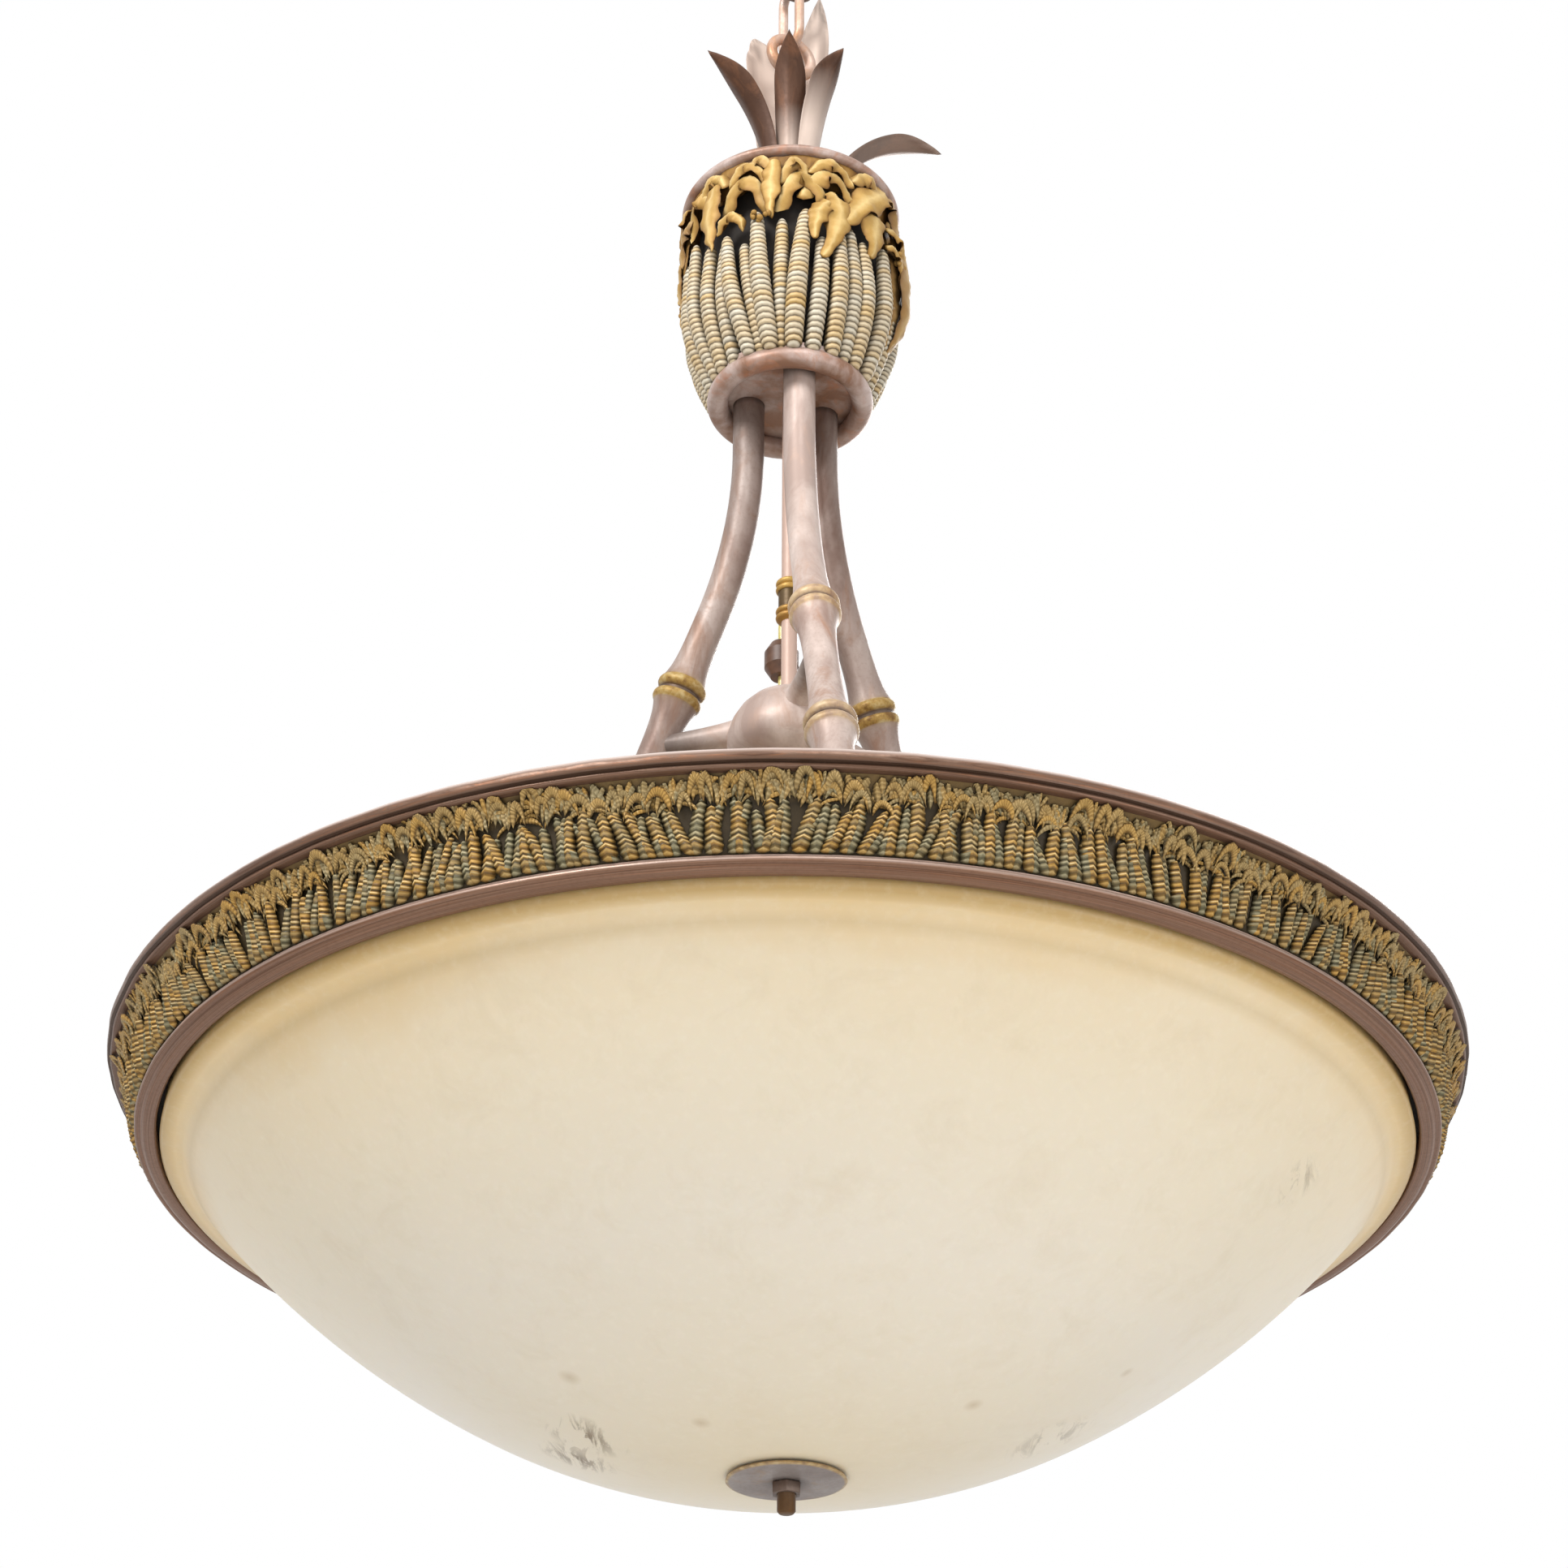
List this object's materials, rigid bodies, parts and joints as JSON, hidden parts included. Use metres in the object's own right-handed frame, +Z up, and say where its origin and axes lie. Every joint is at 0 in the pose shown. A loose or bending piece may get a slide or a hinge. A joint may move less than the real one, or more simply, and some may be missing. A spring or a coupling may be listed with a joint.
{
  "type": "glass shade chandelier",
  "caption": "Hanging chandelier: amber glass bowl in a cast palm-frieze ring on bamboo arms below a palm urn and leaf crown, hung by a chain link; the bowl lowers for relamping.",
  "frame": {"origin": "centre of the mouth of the tapped hole in the ceiling loop's collar, where the chandelier is hung", "axes": "+Z up along the hanging axis; the side seen in the picture faces -Y, +X is to its right"},
  "size_m": [0.7619, 0.762, 1.1714],
  "materials": {
    "chain": "antique bronze, satin",
    "leaf": "antique bronze with rubbed highlights",
    "bronze": "antique bronze with pinkish-grey highlights",
    "urn": "cream-gold wash over brown",
    "frond": "ochre gold over brown",
    "bamboo": "bronze with lilac-grey bloom",
    "gilt": "ochre gold paint",
    "holder": "black phenolic",
    "bulb_glass": "frosted lamp glass",
    "bulb_metal": "screw shell",
    "connector": "brown plastic",
    "wire": "clear-yellow insulation",
    "steel": "dark bronze paint on steel",
    "rim": "antique bronze, rubbed edges",
    "frieze": "cast palm relief, gold and green wash",
    "felt": "felt",
    "bowl_glass": "amber and cream scavo-like opaque glass",
    "disc": "satin bronze"
  },
  "bodies": {
    "ceiling": {"ceiling_loop": "chain"},
    "link": {"chain_link": "chain"},
    "fixture": {"fixture_loop": "chain", "crown_leaf_1": "leaf", "crown_leaf_2": "leaf", "crown_leaf_3": "leaf", "crown_leaf_4": "leaf", "crown_leaf_5": "leaf", "crown_leaf_6": "leaf", "crown_stem": "bronze", "urn_cap": "bronze", "urn_base_ring": "bronze", "urn_base_plate": "bronze", "spreader_hub": "bronze", "center_rod": "bronze", "urn_body": "urn", "urn_fronds": "frond", "arm_1": "bamboo", "arm_collars_1": "gilt", "arm_foot_1": "bronze", "spoke_1": "steel", "lamp_stem_1": "bronze", "lampholder_1": "holder", "arm_2": "bamboo", "arm_collars_2": "gilt", "arm_foot_2": "bronze", "spoke_2": "steel", "lamp_stem_2": "bronze", "lampholder_2": "holder", "arm_3": "bamboo", "arm_collars_3": "gilt", "arm_foot_3": "bronze", "spoke_3": "steel", "lamp_stem_3": "bronze", "lampholder_3": "holder", "rod_coupling": "gilt", "wire_connector": "connector", "lamp_wire": "wire", "spider_plate": "steel", "spoke_screws": "steel", "ring_band": "steel", "upper_rim": "rim", "lower_rim": "rim", "frieze_casting": "frieze", "rim_gasket": "felt"},
    "bowl": {"glass_bowl": "bowl_glass", "bowl_washer_upper": "felt", "bowl_washer_lower": "felt", "cover_disc": "disc"},
    "finial": {"finial_nut": "disc"},
    "bulb_unit_1": {"bulb_1": "bulb_glass", "bulb_cap_1": "bulb_metal"},
    "bulb_unit_2": {"bulb_2": "bulb_glass", "bulb_cap_2": "bulb_metal"},
    "bulb_unit_3": {"bulb_3": "bulb_glass", "bulb_cap_3": "bulb_metal"}
  },
  "joints": [
    {"name": "link_swing", "type": "hinge", "parent": "ceiling", "child": "link", "pos_m": [0, 0, -0.048], "axis": [0.866, 0.5, 0], "range_deg": [-15, 15]},
    {"name": "fixture_swing", "type": "hinge", "parent": "link", "child": "fixture", "pos_m": [0, 0, -0.1022], "axis": [-0.5, 0.866, 0], "range_deg": [-15, 15]},
    {"name": "bowl_drop", "type": "slide", "parent": "fixture", "child": "bowl", "axis": [0, 0, -1], "range_m": [0, 0.12]},
    {"name": "finial_turn", "type": "hinge", "parent": "bowl", "child": "finial", "pos_m": [0, 0, -1.1574], "axis": [0, 0, 1], "continuous": true},
    {"name": "bulb_turn_1", "type": "hinge", "parent": "fixture", "child": "bulb_unit_1", "pos_m": [0.06504, -0.02113, -0.92666], "axis": [0.2139, -0.0695, -0.9744], "continuous": true},
    {"name": "bulb_turn_2", "type": "hinge", "parent": "fixture", "child": "bulb_unit_2", "pos_m": [-0.01422, 0.06689, -0.92666], "axis": [-0.0468, 0.22, -0.9744], "continuous": true},
    {"name": "bulb_turn_3", "type": "hinge", "parent": "fixture", "child": "bulb_unit_3", "pos_m": [-0.05082, -0.04576, -0.92666], "axis": [-0.1672, -0.1505, -0.9744], "continuous": true}
  ]
}
